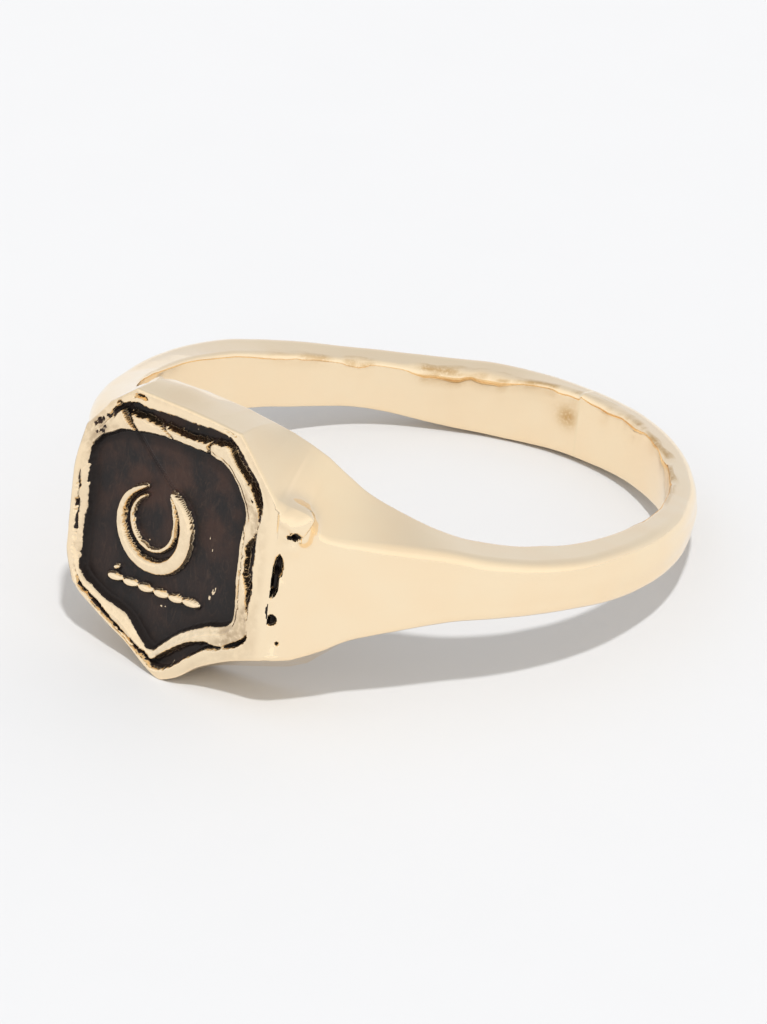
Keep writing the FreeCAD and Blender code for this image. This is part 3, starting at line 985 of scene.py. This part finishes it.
CAMERA_AZIMUTH = math.radians(40.18)
CAMERA_ELEVATION = math.radians(21.87)
CAMERA_ROLL = math.radians(6.08)
CAMERA_DISTANCE = 0.415
CAMERA_LENS = 452.8
CAMERA_SENSOR = 36
CAMERA_RIGHT = -0.000504  # how far the camera stands off the ring's centre
CAMERA_UP = -0.001107


def camera_axes():
    """The camera's right, up and backward directions."""
    a, e = CAMERA_AZIMUTH, CAMERA_ELEVATION
    back = Vector((math.sin(a) * math.cos(e), -math.cos(a) * math.cos(e), math.sin(e)))
    level = Vector((math.cos(a), math.sin(a), 0))
    above = back.cross(level)
    right = math.cos(CAMERA_ROLL) * level + math.sin(CAMERA_ROLL) * above
    up = -math.sin(CAMERA_ROLL) * level + math.cos(CAMERA_ROLL) * above
    return right, up, back


def make_camera():
    right, up, back = camera_axes()
    data = bpy.data.cameras.new("view")
    data.lens = CAMERA_LENS
    data.sensor_fit = "AUTO"
    data.sensor_width = CAMERA_SENSOR
    data.clip_start = 0.01
    data.clip_end = 20
    camera = bpy.data.objects.new("view", data)
    bpy.context.scene.collection.objects.link(camera)
    turn = Matrix((right, up, back)).transposed().to_4x4()
    place = back * CAMERA_DISTANCE + right * CAMERA_RIGHT + up * CAMERA_UP
    camera.matrix_world = Matrix.Translation(place) @ turn
    bpy.context.scene.camera = camera


TENT_FRONT = 1.05
TENT_BACK = 0.80
TENT_TOP = 0.86
TENT_DIRECTION = (0.64, -0.77, 0.0)  # towards its bright side
TENT_WARM = (1, 0.995, 0.985)
TENT_COLD = (0.97, 1, 1.07)
KEY_STRENGTH = 2.22
KEY_AZIMUTH = math.radians(42.6)
KEY_ELEVATION = math.radians(54.5)
KEY_WIDTH = math.radians(3.5)  # softens the shadow's edge
FLOOR_HALF = 1.6
FLOOR_GREY = (0.627, 0.627, 0.63)
FLOOR_LIGHT_GREY = (0.637, 0.637, 0.64)

# The ring lies on the tip of its head and the back of its shank.
REST_FRONT = Vector((0, -10.60, -4.56)) * MM
REST_BACK = Vector((0, 9.55, -1.36)) * MM


def make_floor():
    """A pale sheet, tilted so that the ring's two rests lie on it."""
    along = (REST_BACK - REST_FRONT).normalized()
    mesh = bpy.data.meshes.new("floor")
    corners = []
    for i, j in ((-1, -1), (1, -1), (1, 1), (-1, 1)):
        sideways = Vector((FLOOR_HALF * i, 0, 0))
        corners.append(REST_FRONT + sideways + along * FLOOR_HALF * j)
    mesh.from_pydata([tuple(c) for c in corners], [], [(0, 1, 2, 3)])
    floor = bpy.data.objects.new("floor", mesh)
    bpy.context.scene.collection.objects.link(floor)
    material = bpy.data.materials.new("floor")
    material.use_nodes = True
    tree = material.node_tree
    shader = tree.nodes["Principled BSDF"]
    place = node(tree, "ShaderNodeTexCoord").outputs["Object"]
    grain = noise_node(tree, place, 300, 2.0)
    colour = blend_colour(tree, grain, FLOOR_GREY, FLOOR_LIGHT_GREY)
    tree.links.new(colour, shader.inputs["Base Color"])
    shader.inputs["Roughness"].default_value = 0.75
    shader.inputs["Specular IOR Level"].default_value = 0.25
    mesh.materials.append(material)


def make_world():
    """A white tent: brightest in front of the ring, dimmer behind it and overhead."""
    world = bpy.data.worlds.new("studio")
    bpy.context.scene.world = world
    world.use_nodes = True
    tree = world.node_tree
    background = tree.nodes["Background"]
    direction = node(tree, "ShaderNodeTexCoord").outputs["Generated"]
    split = node(tree, "ShaderNodeSeparateXYZ")
    tree.links.new(direction, split.inputs[0])
    towards = node(tree, "ShaderNodeVectorMath", operation="DOT_PRODUCT")
    tree.links.new(direction, towards.inputs[0])
    towards.inputs[1].default_value = TENT_DIRECTION
    front = ramp(tree, towards.outputs["Value"], -0.9, 0.5, TENT_BACK, TENT_FRONT)
    height = ramp(tree, split.outputs["Z"], 0.25, 0.95, 1.0, TENT_TOP)
    strength = number(tree, "MULTIPLY", front, height)
    behind = ramp(tree, towards.outputs["Value"], 0.3, -0.8)
    colour = blend_colour(tree, behind, TENT_WARM, TENT_COLD)
    tree.links.new(colour, background.inputs["Color"])
    tree.links.new(strength, background.inputs["Strength"])


def make_lights():
    """A lamp above the camera casts the shadow; the tent does the rest."""
    data = bpy.data.lights.new("key", "SUN")
    data.energy = KEY_STRENGTH
    data.angle = KEY_WIDTH
    lamp = bpy.data.objects.new("key", data)
    bpy.context.scene.collection.objects.link(lamp)
    a, e = KEY_AZIMUTH, KEY_ELEVATION
    towards = Vector((math.sin(a) * math.cos(e), -math.cos(a) * math.cos(e), math.sin(e)))
    lamp.rotation_euler = towards.to_track_quat("Z", "Y").to_euler()
    lamp.visible_glossy = False


make_camera()
make_floor()
make_world()
make_lights()
build_ring(make_materials())

scene = bpy.context.scene
scene.view_settings.view_transform = "Standard"
scene.view_settings.look = "None"
